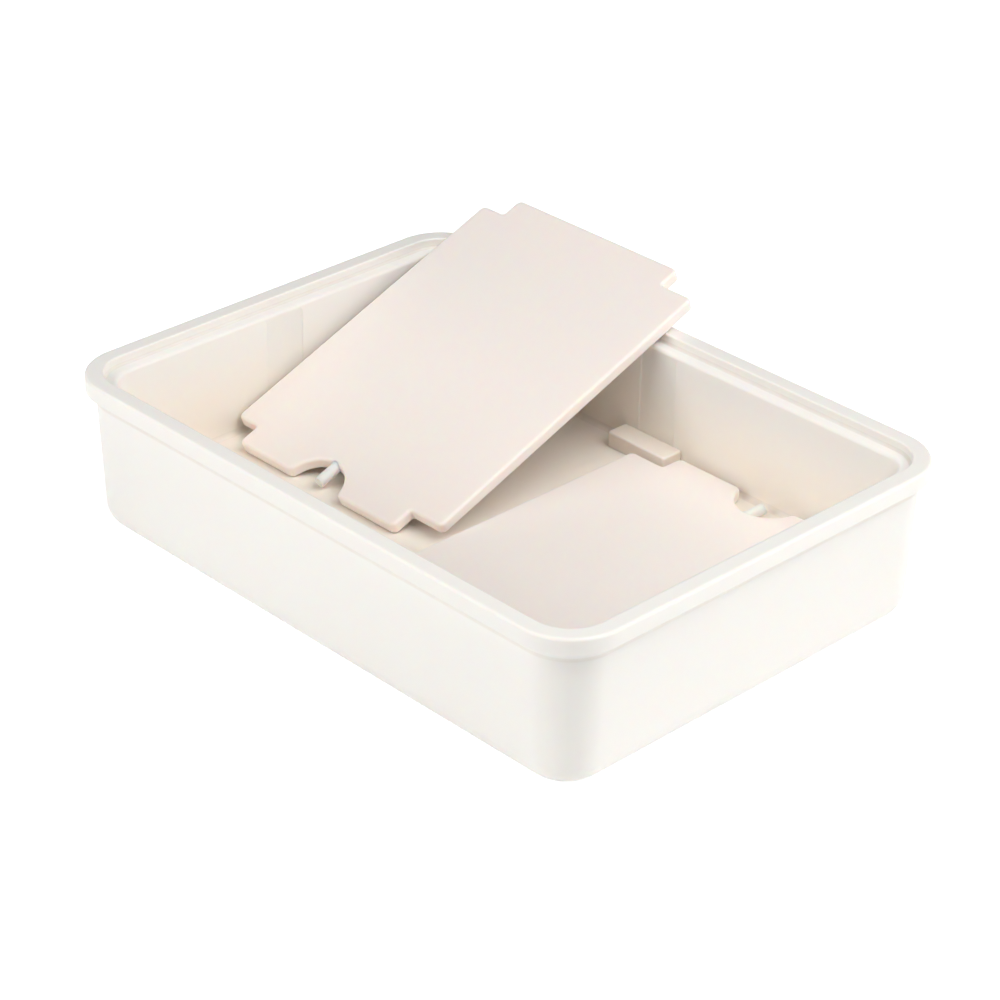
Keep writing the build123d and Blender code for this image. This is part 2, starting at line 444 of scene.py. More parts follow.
@dataclass(frozen=True)
class Slab:
    """A flat moulding: an outline with a thickness and rounded rims."""

    outline: tuple[LinePoint, ...]
    thickness: float
    top_edge: float
    bottom_edge: float
    support: float = SUPPORT

    def rings(self) -> list[tuple[float, float, float]]:
        """Sets out the rings of points from the bottom face to the top face.

        Returns:
            The inset, the height and the edge mark of each ring.
        """
        rings: list[tuple[float, float, float]] = []
        if self.bottom_edge:
            rings.append((self.bottom_edge + self.support, 0.0, 0.0))
        steps = 8
        for radius, foot, rising in ((self.bottom_edge, 0.0, True),
                                     (self.top_edge, self.thickness - self.top_edge, False)):
            for n in range(steps + 1 if radius else 1):
                angle = math.pi / 2 * n / steps
                across = math.sin(angle) if rising else math.cos(angle)
                up = 1 - math.cos(angle) if rising else math.sin(angle)
                mark = 0.0 if n in (0, steps) or not radius else 1.0
                rings.append((radius * (1 - across), foot + radius * up, mark))
        if self.top_edge:
            rings.append((self.top_edge + self.support, self.thickness, 0.0))
        return rings

    def fill(self, work: BMesh, place: Matrix | None = None) -> None:
        """Adds the slab to a mesh.

        Args:
            work: The mesh that is built.
            place: Where the slab goes in it, if not at its own origin.
        """
        line = self.outline
        floats = work.verts.layers.float
        mark = floats.get(Mark.EDGE.value) or floats.new(Mark.EDGE.value)
        loops = []
        for inset, height, edge in self.rings():
            loop = []
            for point in line:
                spot = point.place - point.normal * inset
                vert = work.verts.new((place or Matrix()) @ Vector((spot.x, spot.y, height)))
                vert[mark] = edge
                loop.append(vert)
            loops.append(loop)
        for low, high in zip(loops, loops[1:]):
            for k in range(len(line)):
                n = (k + 1) % len(line)
                work.faces.new((low[k], low[n], high[n], high[k]))
        work.faces.new(list(reversed(loops[0])))
        work.faces.new(loops[-1])


def turn_piece(work: BMesh, profile: Sequence[tuple[float, float]], place: Matrix,
               steps: int = 40) -> None:
    """Adds a turned piece to a mesh, on the local +Y axis.

    Args:
        work: The mesh that is built.
        profile: Radius and distance along the axis; it starts and ends at radius 0.
        place: Where the axis goes.
        steps: Points round the axis.
    """
    rings: list[list[BMVert]] = []
    for radius, along in profile:
        if radius == 0:
            rings.append([work.verts.new(place @ Vector((0, along, 0)))])
            continue
        angles = (math.tau * n / steps for n in range(steps))
        rings.append([
            work.verts.new(place @ Vector((radius * math.cos(a), along, radius * math.sin(a))))
            for a in angles
        ])
    for one, two in zip(rings, rings[1:]):
        for n in range(steps):
            m = (n + 1) % steps
            corners = (one[n % len(one)], one[m % len(one)], two[m % len(two)], two[n % len(two)])
            work.faces.new(tuple(dict.fromkeys(corners)))


class ShadeGroups:
    """Shader node groups that the finishes share, each built once."""

    def __init__(self) -> None:
        """Builds the three groups."""
        self.grain = self._grain()
        self.marks = self._marks()
        self.edges = self._edges()

    @staticmethod
    def _start(name: str, inputs: dict[str, str],
               outputs: dict[str, str]) -> tuple[NodeTree, Node, Node]:
        """Starts a group.

        Args:
            name: Name of the group.
            inputs: Its inputs and their kinds.
            outputs: Its outputs and their kinds.

        Returns:
            The tree, its input node and its output node.
        """
        t = NodeTree(bpy.data.node_groups.new(name, "ShaderNodeTree"))
        t.sockets("INPUT", **inputs)
        t.sockets("OUTPUT", **outputs)
        return t, t.add("NodeGroupInput"), t.add("NodeGroupOutput")

    def _grain(self) -> bpy.types.NodeTree:
        """Surface of a moulded part: a fine eroded grain and slow hollows where it shrank.

        Returns:
            The group.
        """
        t, given, result = self._start(
            "moulded_grain",
            {"Position": "NodeSocketVector", "Grain_Size": "NodeSocketFloat",
             "Hollow_Size": "NodeSocketFloat"},
            {"Grain": "NodeSocketFloat", "Hollow": "NodeSocketFloat", "Tone": "NodeSocketFloat"},
        )
        pit_scale, tone_scale, fine_share, pit_share = 0.6, 3.0, 0.6, 0.4
        where = given.outputs["Position"]
        fine_scale = t.maths("DIVIDE", 1.0, given.outputs["Grain Size"])
        slow_scale = t.maths("DIVIDE", 1.0, given.outputs["Hollow Size"])
        fine = t.add("ShaderNodeTexNoise", Vector=where, Scale=fine_scale, Detail=3.0,
                     Roughness=0.6)
        pits = t.add("ShaderNodeTexVoronoi", feature="SMOOTH_F1", Vector=where, Smoothness=0.6,
                     Scale=t.maths("MULTIPLY", fine_scale, pit_scale))
        slow = t.add("ShaderNodeTexNoise", Vector=where, Scale=slow_scale, Detail=1.0,
                     Roughness=0.4)
        tone = t.add("ShaderNodeTexNoise", Vector=where, Detail=4.0, Roughness=0.55,
                     Scale=t.maths("MULTIPLY", slow_scale, tone_scale))
        pitted = t.maths("MULTIPLY", pits.outputs["Distance"], pit_share)
        t.fill(result, Grain=t.maths("MULTIPLY_ADD", fine.outputs[0], fine_share, pitted),
               Hollow=slow.outputs[0], Tone=tone.outputs[0])
        return t.tree

    def _marks(self) -> bpy.types.NodeTree:
        """Marks of handling: hair-fine scratches in two directions and faint dull patches.

        Returns:
            The group.
        """
        t, given, result = self._start(
            "handling_marks",
            {"Position": "NodeSocketVector", "Patch_Size": "NodeSocketFloat"},
            {"Scratches": "NodeSocketFloat", "Patches": "NodeSocketFloat"},
        )
        lines = []
        faint, clear = 0.68, 0.78       # noise levels between which a scratch shows
        where = given.outputs["Position"]
        for turn, stretch in ((0.4, (60.0, 1400.0, 60.0)), (1.9, (1200.0, 50.0, 50.0))):
            mapping = t.add("ShaderNodeMapping", Vector=where, Rotation=(0.0, 0.0, turn),
                            Scale=stretch)
            hair = t.add("ShaderNodeTexNoise", Vector=mapping.outputs[0], Scale=1.0, Detail=1.0)
            keep = t.add("ShaderNodeMapRange", Value=hair.outputs[0], From_Min=faint,
                         From_Max=clear)
            lines.append(keep.outputs[0])
        patch = t.add("ShaderNodeTexNoise", Vector=where, Detail=2.0,
                      Scale=t.maths("DIVIDE", 1.0, given.outputs["Patch Size"]))
        t.fill(result, Scratches=t.maths("MAXIMUM", *lines), Patches=patch.outputs[0])
        return t.tree

    def _edges(self) -> bpy.types.NodeTree:
        """Masks of outer edges, for a painted highlight with rubbed wear, and of inside corners,
        for painted shade; broken up a little.

        Returns:
            The group.
        """
        spread, least = 0.8, 0.4        # how far the noise changes a mask, and its least share
        t, given, result = self._start(
            "edge_tone", {"Position": "NodeSocketVector", "Break_Size": "NodeSocketFloat"},
            {"Edge": "NodeSocketFloat", "Crease": "NodeSocketFloat"},
        )
        noise = t.add("ShaderNodeTexNoise", Vector=given.outputs["Position"], Detail=2.0,
                      Scale=t.maths("DIVIDE", 1.0, given.outputs["Break Size"]))
        share = t.maths("MULTIPLY_ADD", noise.outputs[0], spread, least)
        for mark, name in ((Mark.EDGE, "Edge"), (Mark.CREASE, "Crease")):
            found = t.add("ShaderNodeAttribute", attribute_name=mark.value)
            t.fill(result, **{name: t.maths("MULTIPLY", found.outputs["Fac"], share)})
        return t.tree


def start_material(name: str) -> tuple[Material, NodeTree, Node, NodeSocket]:
    """Starts a material.

    Args:
        name: Name of the material.

    Returns:
        The material, its tree, its shader and the socket with the place on the object.
    """
    material = bpy.data.materials.new(name)
    material.use_nodes = True
    t = NodeTree(material.node_tree)
    where = t.add("ShaderNodeTexCoord").outputs["Object"]
    return material, t, material.node_tree.nodes["Principled BSDF"], where


@dataclass(frozen=True)
class MouldedPlastic:
    """A satin moulded plastic with a fine grain, a little light passing through it."""

    name: str
    colour: Colour
    tone: Colour
    # Lighter colour of outer edges, a painted highlight with rubbed wear, and of scratches.
    edge: Colour
    # Colour of the painted shade in inside corners.
    crease: Colour | None = None
    roughness: float = 0.42
    grain_size: float = 0.45 * MM
    grain_depth: float = 0.012 * MM
    hollow_size: float = 90 * MM
    hollow_depth: float = 0.10 * MM
    glow: float = 0.4
    glow_depth: float = 4.0 * MM
    glow_spread: Colour = (1.0, 0.5, 0.28)
    refraction: float = 1.49
    tone_share: float = 0.7
    edge_share: float = 0.5
    crease_share: float = 0.6
    scratch_share: float = 0.25
    patch_size: float = 70 * MM
    break_size: float = 12 * MM
    patch_dulling: float = 0.12
    grain_dulling: float = 0.08
    edge_dulling: float = 0.05
    hollow_strength: float = 0.6
    grain_strength: float = 0.5
    # Warmer colour painted deeper in the box: painted warm shade and bounce light.
    inside: Colour | None = None
    inside_heights: tuple[float, float] = (104 * MM, 45 * MM)

    def material(self, groups: ShadeGroups) -> Material:
        """Builds the material.

        Args:
            groups: The shared node groups.

        Returns:
            The material.
        """
        material, t, shader, where = start_material(self.name)
        grain = t.add("ShaderNodeGroup", node_tree=groups.grain, Position=where,
                      Grain_Size=self.grain_size, Hollow_Size=self.hollow_size)
        marks = t.add("ShaderNodeGroup", node_tree=groups.marks, Position=where,
                      Patch_Size=self.patch_size)
        edges = t.add("ShaderNodeGroup", node_tree=groups.edges, Position=where,
                      Break_Size=self.break_size)
        # Deeper in the box the colour is painted warmer, as warm shade and bounce light.
        tint = self._inside_tint(t, where) if self.inside else self.colour
        # Over the colour: random tone, painted edge highlight with rubbed wear, painted crease
        # shade and scratches.
        layers = ((grain.outputs["Tone"], self.tone_share, self.tone),
                  (edges.outputs["Edge"], self.edge_share, self.edge),
                  (edges.outputs["Crease"], self.crease_share, self.crease),
                  (marks.outputs["Scratches"], self.scratch_share, self.edge))
        for mask, share, colour in layers:
            if colour:
                tint = t.mix(t.maths("MULTIPLY", mask, share), tint, colour)
        dull: float | NodeSocket = self.roughness - self.patch_dulling / 2
        for mask, strength in ((marks.outputs["Patches"], self.patch_dulling),
                               (grain.outputs["Grain"], self.grain_dulling),
                               (edges.outputs["Edge"], self.edge_dulling)):
            dull = t.maths("MULTIPLY_ADD", mask, strength, dull)
        hollow = t.add("ShaderNodeBump", Strength=self.hollow_strength,
                       Distance=self.hollow_depth, Height=grain.outputs["Hollow"])
        bump = t.add("ShaderNodeBump", Strength=self.grain_strength, Distance=self.grain_depth,
                     Height=grain.outputs["Grain"], Normal=hollow.outputs[0])
        t.fill(shader, Base_Color=tint, Roughness=dull, Normal=bump.outputs[0],
               Subsurface_Weight=self.glow, Subsurface_Radius=self.glow_spread,
               Subsurface_Scale=self.glow_depth, IOR=self.refraction)
        return material

    def _inside_tint(self, t: NodeTree, where: NodeSocket) -> NodeSocket:
        """Paints warm shade and bounce light: turns the plain colour into a warmer colour between
        two heights.

        Args:
            t: The material's tree.
            where: The object coordinates.

        Returns:
            The socket with the colour.
        """
        split = t.add("ShaderNodeSeparateXYZ", Vector=where)
        high, low = self.inside_heights
        depth = t.add("ShaderNodeMapRange", interpolation_type="SMOOTHSTEP", From_Min=high,
                      From_Max=low, Value=split.outputs["Z"])
        return t.mix(depth.outputs[0], self.colour, self.inside)


@dataclass(frozen=True)
class FilledCells:
    """A hidden filling made of cells: foam beads, or a gel with a few bubbles."""

    name: str
    colour: Colour
    seam: Colour
    cell_size: float
    roughness: float
    clear: float = 0.0
    grain_share: float = 1 / 6
    hollow_share: float = 8
    seam_width: float = 0.12
    seam_depth: float = 0.3 * MM
    seam_strength: float = 0.5
    dulling: float = 0.1

    def material(self, groups: ShadeGroups) -> Material:
        """Builds the material.

        Args:
            groups: The shared node groups.

        Returns:
            The material.
        """
        material, t, shader, where = start_material(self.name)
        cells = t.add("ShaderNodeTexVoronoi", feature="DISTANCE_TO_EDGE", Vector=where,
                      Scale=1 / self.cell_size)
        grain = t.add("ShaderNodeGroup", node_tree=groups.grain, Position=where,
                      Grain_Size=self.cell_size * self.grain_share,
                      Hollow_Size=self.cell_size * self.hollow_share)
        mask = t.add("ShaderNodeMapRange", Value=cells.outputs["Distance"],
                     From_Max=self.seam_width).outputs[0]
        dull = t.maths("MULTIPLY_ADD", grain.outputs["Tone"], self.dulling, self.roughness)
        bump = t.add("ShaderNodeBump", Strength=self.seam_strength, Distance=self.seam_depth,
                     Height=mask)
        t.fill(shader, Base_Color=t.mix(mask, self.seam, self.colour), Roughness=dull,
               Normal=bump.outputs[0], Transmission_Weight=self.clear)
        return material


@dataclass
class Finishes:
    """Every material of the object."""

    groups: ShadeGroups
    box: Material = field(init=False)
    liner: Material = field(init=False)
    plate: Material = field(init=False)
    stopper: Material = field(init=False)
    foam: Material = field(init=False)
    gel: Material = field(init=False)

    def __post_init__(self) -> None:
        """Builds the materials."""
        box = MouldedPlastic(
            "ivory_box_plastic", colour=(0.926, 0.886, 0.844), tone=(0.918, 0.872, 0.824),
            # The crease colour is painted shade in inside corners; the edge colour is a painted
            # highlight with rubbed wear.
            edge=(0.928, 0.894, 0.852), crease=(0.80, 0.725, 0.645),
        )
        # The liner is painted warmer deeper down: painted warm shade and bounce light.
        liner = replace(box, name="ivory_liner_plastic", inside=(0.990, 0.862, 0.745))
        # The plate's lighter edge colour is a painted highlight with rubbed wear.
        plate = MouldedPlastic(
            "cream_plate_plastic", colour=(0.936, 0.856, 0.806), tone=(0.926, 0.842, 0.788),
            edge=(0.948, 0.873, 0.820), roughness=0.46, grain_size=0.35 * MM,
            hollow_size=55 * MM, hollow_depth=0.06 * MM, glow=0.6, glow_depth=6.0 * MM,
        )
        stopper = replace(plate, name="cream_stopper_plastic", roughness=0.38, grain_size=0.3 * MM,
                          hollow_size=12 * MM, hollow_depth=0.02 * MM)
        self.box, self.liner, self.plate, self.stopper = (
            finish.material(self.groups) for finish in (box, liner, plate, stopper))
        foam = FilledCells("white_bead_foam", (0.9, 0.9, 0.88), (0.78, 0.78, 0.76), 4 * MM, 0.8)
        gel = FilledCells("cooling_gel", (0.62, 0.78, 0.86), (0.7, 0.85, 0.92), 14 * MM, 0.1, 0.6)
        self.foam, self.gel = (finish.material(self.groups) for finish in (foam, gel))


@dataclass
class ServingBox:
    """The double-walled box: outer shell, foam core and liner with the rim."""

    finishes: Finishes
    length: float = 480 * MM
    width: float = 349 * MM
    height: float = 114 * MM
    rim_corner: float = 40 * MM
    skin: float = 3 * MM
    wall_top_inset: float = 7 * MM
    wall_foot_inset: float = 11 * MM
    base_edge: float = 17 * MM
    rim_face: float = 12.5 * MM
    band_depth: float = 12 * MM
    cove_depth: float = 18.5 * MM
    cove_radius: float = 9 * MM
    ledge_depth: float = 7 * MM
    ledge_width: float = 9 * MM
    floor_height: float = 30 * MM
    floor_inset: float = 27 * MM
    slab_inset: float = 36 * MM
    floor_fillet: float = 4 * MM
    ledge_lip: float = 2.8 * MM
    ledge_foot: float = 2 * MM
    rim_edge: float = 1.2 * MM
    rim_outer_edge: float = 2.2 * MM
    band_edge: float = 0.8 * MM
    band_return: float = 0.5 * MM
    hidden_edge: float = 1 * MM
    hidden_drop: float = 1 * MM
    hidden_fillet: float = 7 * MM
    section_support: float = 0.25 * MM
    skirt_gap: float = 0.2 * MM
    fit_gap: float = 0.1 * MM
    block_length: float = 53.5 * MM
    block_reach: float = 17 * MM
    block_height: float = 11.5 * MM
    block_edge: float = 1.3 * MM
    block_corner: float = 1.8 * MM
    block_support: float = 0.2 * MM
    groove: Groove = Groove()
    section_tree: CarriedSection = field(default_factory=CarriedSection)

    def rim_path(self, name: str) -> Object:
        """Draws the wire round the rim's outer face, with points where the grooves need them.

        Args:
            name: Name of the wire.

        Returns:
            The wire, linked to the scene.
        """
        x, y = self.length / 2, self.width / 2
        corners = [Corner(x, -y, self.rim_corner), Corner(x, y, self.rim_corner),
                   Corner(-x, y, self.rim_corner), Corner(-x, -y, self.rim_corner)]
        rounded = rounded_line(corners, True, RIM_STEP)
        stations = self.groove.stations()
        along = [-s for s in reversed(stations)] + stations
        points: list[LinePoint] = []
        sides = ((0, x, 1), (y, 0, -1), (0, -x, -1), (-y, 0, 1))
        per_corner = len(rounded) // len(sides)
        for k, (side_y, side_x, way) in enumerate(sides):
            points += rounded[k * per_corner:(k + 1) * per_corner]
            for s in along:
                spot = (side_x, way * s) if side_x else (way * s, side_y)
                points.append(LinePoint(Vector(spot), Vector((0, 0))))
        return line_object(name, points, closed=True)

    def shell_section(self) -> list[Corner]:
        """Draws the outer shell, from the inside of its floor round to its underside.

        Returns:
            The corners of its section.
        """
        face = self.skin + self.skirt_gap
        top = self.height - self.skin - self.fit_gap
        band_foot, cove_foot = self.height - self.band_depth, self.height - self.cove_depth
        drop, edge = self.hidden_drop, self.hidden_edge
        return [
            Corner(self.slab_inset, self.skin),
            Corner(self.wall_foot_inset + self.skin, self.skin, self.base_edge - self.skin),
            Corner(self.wall_top_inset + self.skin, cove_foot - drop, self.cove_radius - self.skin),
            Corner(face + self.skin, band_foot - drop, edge),
            Corner(face + self.skin, top, edge),
            Corner(face, top, edge),
            Corner(face, band_foot),
            Corner(self.wall_top_inset, cove_foot, self.cove_radius),
            Corner(self.wall_foot_inset, 0, self.base_edge),
            Corner(self.slab_inset, 0),
        ]

    def liner_section(self) -> list[Corner]:
        """Draws the liner, from its floor up over the rim and back under its floor.

        Returns:
            The corners of its section.
        """
        rim, face, skin, edge = self.height, self.rim_face, self.skin, self.hidden_edge
        ledge, band_foot = rim - self.ledge_depth, rim - self.band_depth
        ledge_end = face + self.ledge_width
        return [
            Corner(self.slab_inset, self.floor_height),
            Corner(self.floor_inset, self.floor_height, self.floor_fillet, Run.GROOVED),
            Corner(ledge_end, ledge, self.ledge_lip),
            Corner(face, ledge, self.ledge_foot),
            Corner(face, rim, self.rim_edge),
            Corner(0, rim, self.rim_outer_edge),
            Corner(0, band_foot, self.band_edge),
            Corner(skin, band_foot, self.band_return),
            Corner(skin, rim - skin, self.band_return),
            Corner(face - skin, rim - skin, edge),
            Corner(face - skin, ledge - skin, edge),
            Corner(ledge_end - skin, ledge - skin, edge),
            Corner(self.floor_inset - skin, self.floor_height - skin, self.hidden_fillet),
            Corner(self.slab_inset, self.floor_height - skin),
        ]

    def locating_block(self) -> Slab:
        """Draws the block at the middle of a long wall.

        Returns:
            The block, drawn about the box's middle.
        """
        front = self.width / 2 - self.floor_inset - self.block_reach
        back = self.width / 2 - self.floor_inset + self.skin / 3
        half, support = self.block_length / 2, self.block_support
        spots = ((-half, front), (half, front), (half, back), (-half, back))
        corners = [Corner(x, y, self.block_corner) for x, y in spots]
        outline = rounded_line(corners, True, RING_STEP, support)
        return Slab(tuple(outline), self.block_height, self.block_edge, 0.0, support)

    def build(self) -> list[Object]:
        """Builds and dresses the box's pieces.

        Returns:
            The new pieces.
        """
        pieces = []
        for name, node, section, finish in (
            ("box_outer_skin", "outer_shell", self.shell_section(), self.finishes.box),
            ("box_liner_skin", "inner_liner", self.liner_section(), self.finishes.liner),
        ):
            line = rounded_line(section, False, RING_STEP, self.section_support)
            wire = line_object(name + "_section", line, closed=False, flip=True)
            piece = self.section_tree.carry(self.rim_path(name), wire, self.groove, finish)
            if node == "inner_liner":
                self._add_blocks(piece)
            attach(piece, "box")
            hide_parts(node)
            pieces.append(piece)
        dress(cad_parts["insulation_core"], self.finishes.foam)
        return pieces

    def _add_blocks(self, liner: Object) -> None:
        """Adds the two locating blocks to the liner's mesh.

        Args:
            liner: The liner.
        """
        work = bmesh.new()
        work.from_mesh(liner.data)
        lift = Matrix.Translation((0, 0, self.floor_height - self.fit_gap))
        for turn in (0.0, math.pi):
            first = len(work.faces)
            self.locating_block().fill(work, lift @ Matrix.Rotation(turn, 4, "Z"))
            work.faces.ensure_lookup_table()
            bmesh.ops.recalc_face_normals(work, faces=work.faces[first:])
        store(work, liner.data)


@dataclass
class ColdPlate:
    """A cold plate: a flat filled moulding with a filler spigot and its stopper."""

    finishes: Finishes
    rest: Rest
    width: float = 207 * MM
    length: float = 285 * MM
    thickness: float = 9.2 * MM
    corner: float = 4.5 * MM
    edge: float = 2.2 * MM
    notch_depth: float = 17.5 * MM
    notch_outer: float = 20.5 * MM
    notch_inner: float = 29 * MM
    notch_corner: float = 2 * MM
    cutout_radius: float = 23.4 * MM
    cutout_centre: float = -1.8 * MM
    cutout_side: float = 98 * MM
    cutout_mouth: float = 5 * MM
    cutout_step: float = RING_STEP / 1.5
    spigot_radius: float = 4 * MM
    spigot_bore: float = 2.25 * MM
    spigot_tip: float = 5.7 * MM
    head: float = 1.2 * MM
    bevel: float = 0.4 * MM
    pin: float = 12 * MM
    tip_bevel: float = 0.15 * MM
    root_flare: float = 0.4 * MM
    root_sink: float = 1.5 * MM
    clearance: float = 0.05 * MM
    seat_gap: float = 0.3 * MM
    plate_gap: float = 2.2 * MM
    lean_side: float = 211.5 * MM
    lean_foot: float = -59.5 * MM

    def outline(self) -> tuple[LinePoint, ...]:
        """Draws the outline seen from above: outer side at X = 0, spigot end at Y = 0.

        Returns:
            Its points.
        """
        width, length, deep = self.width, self.length, self.notch_depth
        left, right = self.notch_outer, width - self.notch_inner
        line = rounded_line((
            Corner(left, 0, self.corner), Corner(right, 0, self.corner),
            Corner(right, deep, self.notch_corner), Corner(width, deep, self.corner),
            Corner(width, length - deep, self.corner),
            Corner(right, length - deep, self.notch_corner),
            Corner(right, length, self.corner), Corner(left, length, self.corner),
            Corner(left, length - deep, self.notch_corner), Corner(0, length - deep, self.corner),
            Corner(0, deep, self.corner), Corner(left, deep, self.notch_corner),
        ), True, RING_STEP)
        first = next(k for k, point in enumerate(line) if point.place.x > self.cutout_side)
        return tuple(line[:first] + self.cutout_line() + line[first:])

    def cutout_line(self) -> list[LinePoint]:
        """Draws the round cut-out in the spigot end with its lips, from left to right.

        Returns:
            Its points.
        """
        reach = self.cutout_radius + self.cutout_mouth
        rise = self.cutout_mouth - self.cutout_centre
        half = math.sqrt(reach ** 2 - rise ** 2)
        lean = math.atan2(rise, half)
        quarter = math.pi / 2
        arcs = (
            (-half, self.cutout_mouth, self.cutout_mouth, -quarter, -lean, 1),
            (0.0, self.cutout_centre, self.cutout_radius, math.pi - lean, lean, -1),
            (half, self.cutout_mouth, self.cutout_mouth, math.pi + lean, math.pi + quarter, 1),
        )
        points = [LinePoint(Vector((self.cutout_side - half - SUPPORT, 0)), Vector((0, -1)))]
        for k, (x, y, radius, start, end, side) in enumerate(arcs):
            steps = max(2, math.ceil(abs(end - start) / self.cutout_step))
            centre = Vector((self.cutout_side + x, y))
            for n in range(min(k, 1), steps + 1):
                angle = start + (end - start) * n / steps
                ray = Vector((math.cos(angle), math.sin(angle)))
                points.append(LinePoint(centre + ray * radius, ray * side))
        points.append(LinePoint(Vector((self.cutout_side + half + SUPPORT, 0)), Vector((0, -1))))
        return points

    def spigot_profile(self) -> list[tuple[float, float]]:
        """Draws the spigot, from the end of its bore round to its root, which flares softly.

        Returns:
            Radius and distance along the axis of its points.
        """
        root, tip = self.cutout_centre + self.cutout_radius, self.spigot_tip
        radius, flare, bore = self.spigot_radius, self.root_flare, self.spigot_bore
        bore_end = tip + self.pin + self.head
        return [
            (0, bore_end), (bore, bore_end), (bore, tip),
            (radius - self.tip_bevel, tip), (radius, tip + self.tip_bevel),
            (radius, root - flare * 3), (radius + flare * 0.3, root - flare * 1.25),
            (radius + flare, root + flare / 4), (radius + flare, root + self.root_sink),
            (0, root + self.root_sink),
        ]

    def stopper_profile(self) -> list[tuple[float, float]]:
        """Draws the stopper, from the face of its head to the end of its pin.

        Returns:
            Radius and distance along the axis of its points.
        """
        head_end = self.spigot_tip - self.clearance
        tip, pin = head_end - self.head, self.spigot_bore - self.clearance
        pin_end = head_end - self.head / 2 + self.pin
        radius = self.spigot_radius
        return [(0, tip), (radius - self.bevel, tip), (radius, tip + self.bevel),
                (radius, head_end), (pin, head_end), (pin, pin_end), (0, pin_end)]

    def lean_tilt(self, box: ServingBox) -> float:
        """Tilt at which the leaning plate's underside meets the rim's inner edge.

        Args:
            box: The box that it leans on.

        Returns:
            The tilt in radians.
        """
        corner = box.rim_corner - box.rim_face + box.rim_edge
        into = max(0.0, self.lean_side - self.edge - box.length / 2 + box.rim_corner)
        reach = box.width / 2 - box.rim_corner + math.sqrt(corner ** 2 - into ** 2)
        foot = box.floor_height + self.edge + self.seat_gap
        across, up = reach - self.lean_foot, box.height - box.rim_edge - foot
        stand_off = box.rim_edge + self.edge + self.seat_gap
        return math.atan2(up, across) + math.asin(stand_off / math.hypot(across, up))

    def place(self, box: ServingBox) -> Matrix:
        """Finds where the plate lies in a box.

        Args:
            box: The box.

        Returns:
            The plate's place.
        """
        bottom = box.floor_height + self.seat_gap
        if self.rest is Rest.SEATED:
            spot = Vector((self.plate_gap + self.width, self.length / 2, bottom))
            return Matrix.Translation(spot) @ Matrix.Rotation(math.pi, 4, "Z")
        foot = Vector((-self.lean_side, self.lean_foot, bottom + self.edge))
        turn = Matrix.Rotation(self.lean_tilt(box), 4, "X")
        return Matrix.Translation(foot - turn @ Vector((0, self.edge, self.edge))) @ turn

    def build(self, box: ServingBox) -> list[Object]:
        """Builds and dresses the plate's pieces.

        Args:
            box: The box that it lies in.

        Returns:
            The new pieces.
        """
        place, name = self.place(box), self.rest.value
        axis = place @ Matrix.Translation((self.cutout_side, 0, self.thickness / 2))
        body = bmesh.new()
        Slab(self.outline(), self.thickness, self.edge, self.edge).fill(body, place)
        turn_piece(body, self.spigot_profile(), axis)
        stopper = bmesh.new()
        turn_piece(stopper, self.stopper_profile(), axis)
        made = []
        for part, work, node, finish, slot in (
            ("body", body, "shell", self.finishes.plate, "plate_plastic"),
            ("stopper", stopper, "plug", self.finishes.stopper, "plug_plastic"),
        ):
            piece = mesh_object(f"{name}_{part}", work, Matrix(), finish)
            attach(piece, name)
            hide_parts(f"{name}_{node}")
            made.append(piece)
        dress(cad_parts[f"{name}_gel"], self.finishes.gel)
        return made


def dress(node: Object, finish: Material) -> None:
    """Gives a CAD node its material."""
    node.data.materials.clear()
    node.data.materials.append(finish)


def direction(azimuth: float, elevation: float) -> Vector:
    """Turns two angles into a direction.

    Args:
        azimuth: Degrees from +X towards +Y.
        elevation: Degrees above the floor.

    Returns:
        The unit vector.
    """
    turn, rise = math.radians(azimuth), math.radians(elevation)
    level = math.cos(rise)
    return Vector((level * math.cos(turn), level * math.sin(turn), math.sin(rise)))


@dataclass(frozen=True)
class SoftBox:
    """An area lamp that looks at the object."""

    name: str
    azimuth: float
    elevation: float
    distance: float
    size: float
    power: float
    aim: float = 60 * MM

    def build(self) -> None:
        """Adds the lamp to the scene, pointed at the middle of the box."""
        data = bpy.data.lights.new(self.name, "AREA")
        data.shape, data.size, data.energy = "SQUARE", self.size, self.power
        lamp = add_object(self.name, data)
        away = direction(self.azimuth, self.elevation)
        lamp.location = Vector((0, 0, self.aim)) + away * self.distance
        lamp.rotation_euler = away.to_track_quat("Z", "Y").to_euler()


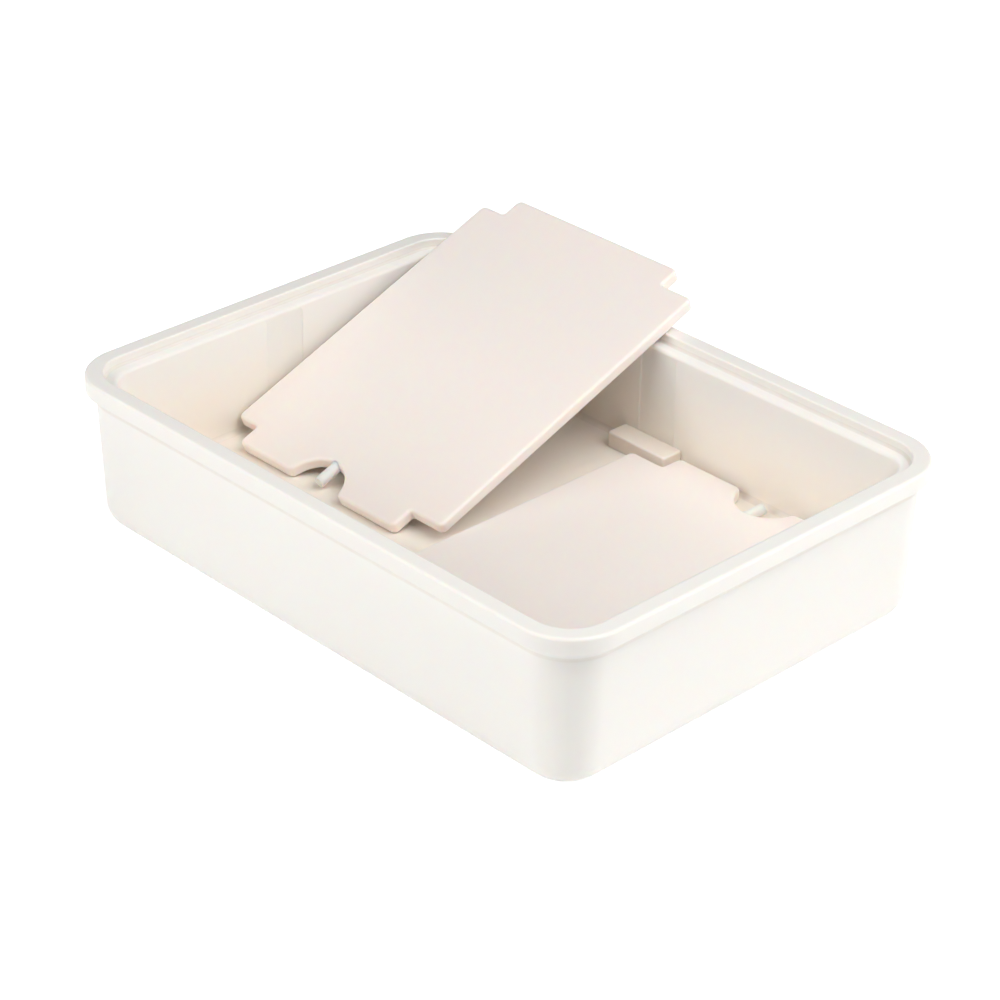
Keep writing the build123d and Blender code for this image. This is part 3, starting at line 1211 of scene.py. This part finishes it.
@dataclass
class Studio:
    """The pale floor, the soft light and the even surroundings."""

    floor_radius: float = 6.0
    floor_colour: Colour = (0.9, 0.9, 0.9)
    floor_lift: float = 0.75
    floor_gap: float = 0.1 * MM
    floor_points: int = 96
    floor_roughness: float = 0.95
    floor_shine: float = 0.1
    fibre_scale: float = 900.0
    fibre_shade: float = 0.98
    surround: float = 0.09
    lamps: tuple[SoftBox, ...] = (
        SoftBox("right_softbox", 28, 27, 2.0, 1.6, 4.9),
        SoftBox("low_right_softbox", 45, 7, 2.0, 0.6, 8.4),
        SoftBox("left_softbox", -106, 30, 2.0, 1.6, 25.2),
        SoftBox("top_softbox", 12, 60, 1.9, 1.6, 26.7),
    )

    def build(self) -> None:
        """Builds the floor, the lamps and the world."""
        self._floor()
        for lamp in self.lamps:
            lamp.build()
        world = bpy.data.worlds.new("even_surround")
        world.use_nodes = True
        t = NodeTree(world.node_tree)
        seen = t.add("ShaderNodeLightPath").outputs["Is Camera Ray"]
        t.fill(world.node_tree.nodes["Background"], Color=(1, 1, 1),
               Strength=t.maths("MULTIPLY_ADD", seen, 1 - self.surround, self.surround))
        bpy.context.scene.world = world
        bpy.context.scene.view_settings.view_transform = "Standard"

    def _floor(self) -> None:
        """Adds the floor, which the camera and clear reflections see nearly white."""
        work = bmesh.new()
        bmesh.ops.create_circle(work, cap_ends=True, segments=self.floor_points,
                                radius=self.floor_radius)
        material, t, shader, where = start_material("paper_floor")
        fibre = t.add("ShaderNodeTexNoise", Vector=where, Scale=self.fibre_scale, Detail=4.0)
        shade = tuple(c * self.fibre_shade for c in self.floor_colour)
        rays = t.add("ShaderNodeLightPath")
        seen = rays.outputs["Is Camera Ray"]
        for kind in ("Is Transmission Ray", "Is Glossy Ray"):
            seen = t.maths("MAXIMUM", seen, rays.outputs[kind])
        t.fill(shader, Base_Color=t.mix(fibre.outputs[0], self.floor_colour, shade),
               Roughness=self.floor_roughness, Specular_IOR_Level=self.floor_shine,
               Emission_Color=(1, 1, 1),
               Emission_Strength=t.maths("MULTIPLY", seen, self.floor_lift))
        place = Matrix.Translation((0, 0, -self.floor_gap))
        floor = mesh_object("paper_floor", work, place, material)


@dataclass(frozen=True)
class PhotoCamera:
    """The camera, fitted to the box's edges in the photograph."""

    azimuth: float = -44.1793
    elevation: float = 29.6158
    roll: float = 0.9574
    distance: float = 2.11951
    offset: tuple[float, float] = (0.001992, 0.041496)
    focal: float = 114.233
    sensor: float = 36.0
    far: float = 50.0

    def build(self) -> None:
        """Adds the camera and makes it the scene's camera."""
        back = direction(self.azimuth, self.elevation)
        level = direction(self.azimuth + 90, 0)
        above = back.cross(level)
        cosine, sine = math.cos(math.radians(self.roll)), math.sin(math.radians(self.roll))
        right, up = level * cosine + above * sine, above * cosine - level * sine
        data = bpy.data.cameras.new("photo_camera")
        data.lens, data.sensor_width, data.clip_end = self.focal, self.sensor, self.far
        camera = add_object("photo_camera", data)
        place = right * self.offset[0] + up * self.offset[1] + back * self.distance
        turn = Matrix((right, up, back)).transposed().to_4x4()
        camera.matrix_world = Matrix.Translation(place) @ turn
        bpy.context.scene.camera = camera


def main() -> None:
    """Builds the object, the studio and the camera."""
    logging.basicConfig(level=logging.INFO, format="%(name)s: %(message)s")
    finishes = Finishes(ShadeGroups())
    box = ServingBox(finishes)
    pieces = box.build()
    for rest in Rest:
        pieces += ColdPlate(finishes, rest).build(box)
    for piece in pieces:
        LOG.info("%s: %d faces, %s", piece.name, len(piece.data.polygons),
                 " x ".join(f"{size / MM:.1f}" for size in piece.dimensions))
    Studio().build()
    PhotoCamera().build()


if __name__ == "__main__":
    main()
